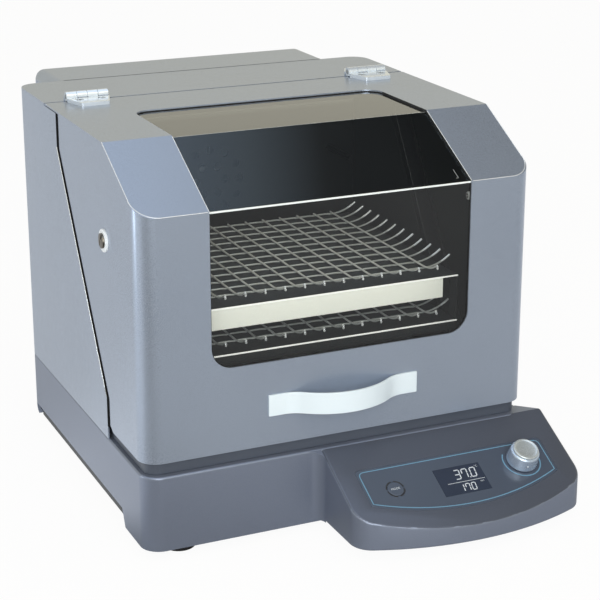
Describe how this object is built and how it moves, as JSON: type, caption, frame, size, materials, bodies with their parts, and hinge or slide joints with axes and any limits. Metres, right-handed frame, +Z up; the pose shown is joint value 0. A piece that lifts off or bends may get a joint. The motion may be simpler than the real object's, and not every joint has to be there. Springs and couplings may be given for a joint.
{
  "type": "shaking incubator",
  "caption": "Benchtop shaking incubator: hinged hood with a bent window over wire trays on an orbiting table, and a sloped control pod with display, button and jog knob.",
  "frame": {"origin": "on the bench under the middle of the whole machine", "axes": "+X to the user's right, +Y away from the user, +Z up"},
  "size_m": [0.446, 0.5856, 0.407],
  "materials": {
    "silver_paint": "satin metallic",
    "base_grey": "satin metallic paint over moulding",
    "plinth_grey": "satin",
    "black_rubber": "matt",
    "clear_glass": "clear",
    "bright_steel": "polished",
    "plain_steel": "turned",
    "white_nylon": "gloss",
    "dark_sheet": "satin",
    "dark_lining": "matt",
    "tray_wire": "satin",
    "ivory_plastic": "gloss",
    "fascia_blue": "satin film",
    "lcd_navy": "gloss",
    "knob_silver": "satin",
    "knob_grey": "satin",
    "cast_aluminium": "machined",
    "motor_black": "satin",
    "insulation": "fibre",
    "board_green": "satin",
    "black_plastic": "satin"
  },
  "bodies": {
    "base": {"base_housing": "base_grey", "bottom_pan": "dark_sheet", "rubber_feet": "black_rubber", "plinth_frame": "plinth_grey", "drive_deck": "cast_aluminium", "floor_pan": "dark_sheet", "cabinet_wrap": "silver_paint", "cabinet_top": "silver_paint", "rear_box": "silver_paint", "opening_frame": "black_plastic", "lid_seal": "black_rubber", "chamber_sides": "dark_sheet", "air_baffle": "dark_sheet", "wall_insulation": "insulation", "heater_ring": "plain_steel", "fan_motor": "motor_black", "temperature_probe": "plain_steel", "drive_motor": "motor_black", "drive_belt": "black_rubber", "bearing_housings": "cast_aluminium", "power_supply": "cast_aluminium", "control_board": "board_green", "power_inlet": "black_plastic", "panel_fascia": "fascia_blue", "lcd_module": "lcd_navy", "encoder_body": "plain_steel", "hinge_rear_leaves": "bright_steel", "hinge_pins": "plain_steel", "cabinet_screws": "plain_steel"},
    "lid": {"hood_wrap": "silver_paint", "hood_top": "silver_paint", "window_top_pane": "clear_glass", "window_slope_pane": "clear_glass", "window_front_pane": "clear_glass", "window_gasket": "black_rubber", "pane_rails": "dark_sheet", "hood_inner_sides": "dark_lining", "side_washers": "white_nylon", "side_bolts": "plain_steel", "handle_strap": "bright_steel", "hinge_hood_leaves": "bright_steel", "hood_screws": "plain_steel"},
    "mode_button": {"mode_button": "fascia_blue"},
    "jog_plunger": {"encoder_plunger": "plain_steel"},
    "jog_knob": {"encoder_shaft": "plain_steel", "knob_skirt": "knob_grey", "knob_cap": "knob_silver"},
    "drive_crank": {"drive_crank": "plain_steel"},
    "idler_left": {"idler_crank_left": "plain_steel"},
    "idler_right": {"idler_crank_right": "plain_steel"},
    "table": {"orbit_table": "cast_aluminium", "table_bushes": "black_plastic", "lower_platform": "dark_sheet", "upper_platform": "dark_sheet", "tray_front_rail": "ivory_plastic", "lower_tray": "tray_wire", "upper_tray": "tray_wire"},
    "motor_pulley": {"motor_pulley": "cast_aluminium"},
    "fan": {"fan_wheel": "cast_aluminium"},
    "rocker": {"power_rocker": "black_plastic"}
  },
  "joints": [
    {"name": "lid_hinge", "type": "hinge", "parent": "base", "child": "lid", "pos_m": [-0.008, 0.10875, 0.402], "axis": [-1, 0, 0], "range_deg": [0, 80]},
    {"name": "mode_press", "type": "slide", "parent": "base", "child": "mode_button", "axis": [0, 0.454, -0.891], "range_m": [0, 0.0008], "stiffness_N_per_m": 2500},
    {"name": "jog_press", "type": "slide", "parent": "base", "child": "jog_plunger", "axis": [0, 0.454, -0.891], "range_m": [0, 0.0008], "stiffness_N_per_m": 3000},
    {"name": "jog_turn", "type": "hinge", "parent": "jog_plunger", "child": "jog_knob", "pos_m": [0.1675, -0.2351, 0.06031], "axis": [0, -0.454, 0.891], "continuous": true},
    {"name": "crank_spin", "type": "hinge", "parent": "base", "child": "drive_crank", "pos_m": [-0.008, -0.04375, 0.1], "axis": [0, 0, 1], "continuous": true},
    {"name": "table_orbit", "type": "hinge", "parent": "drive_crank", "child": "table", "pos_m": [-0.008, -0.05175, 0.16], "axis": [0, 0, 1], "continuous": true},
    {"name": "idler_left_spin", "type": "hinge", "parent": "base", "child": "idler_left", "pos_m": [-0.103, 0.06125, 0.1], "axis": [0, 0, 1], "continuous": true},
    {"name": "idler_right_spin", "type": "hinge", "parent": "base", "child": "idler_right", "pos_m": [0.087, 0.06125, 0.1], "axis": [0, 0, 1], "continuous": true},
    {"name": "motor_spin", "type": "hinge", "parent": "base", "child": "motor_pulley", "pos_m": [-0.126, -0.04375, 0.07], "axis": [0, 0, 1], "continuous": true},
    {"name": "fan_spin", "type": "hinge", "parent": "base", "child": "fan", "pos_m": [-0.008, 0.19625, 0.275], "axis": [0, 1, 0], "continuous": true},
    {"name": "rocker_tip", "type": "hinge", "parent": "base", "child": "rocker", "pos_m": [-0.154, 0.21265, 0.058], "axis": [1, 0, 0], "range_deg": [-16, 0]}
  ],
  "couplings": [
    {"joint": "table_orbit", "follows": "crank_spin", "ratio": -1},
    {"joint": "idler_left_spin", "follows": "crank_spin", "ratio": 1},
    {"joint": "idler_right_spin", "follows": "crank_spin", "ratio": 1},
    {"joint": "motor_spin", "follows": "crank_spin", "ratio": 3}
  ]
}
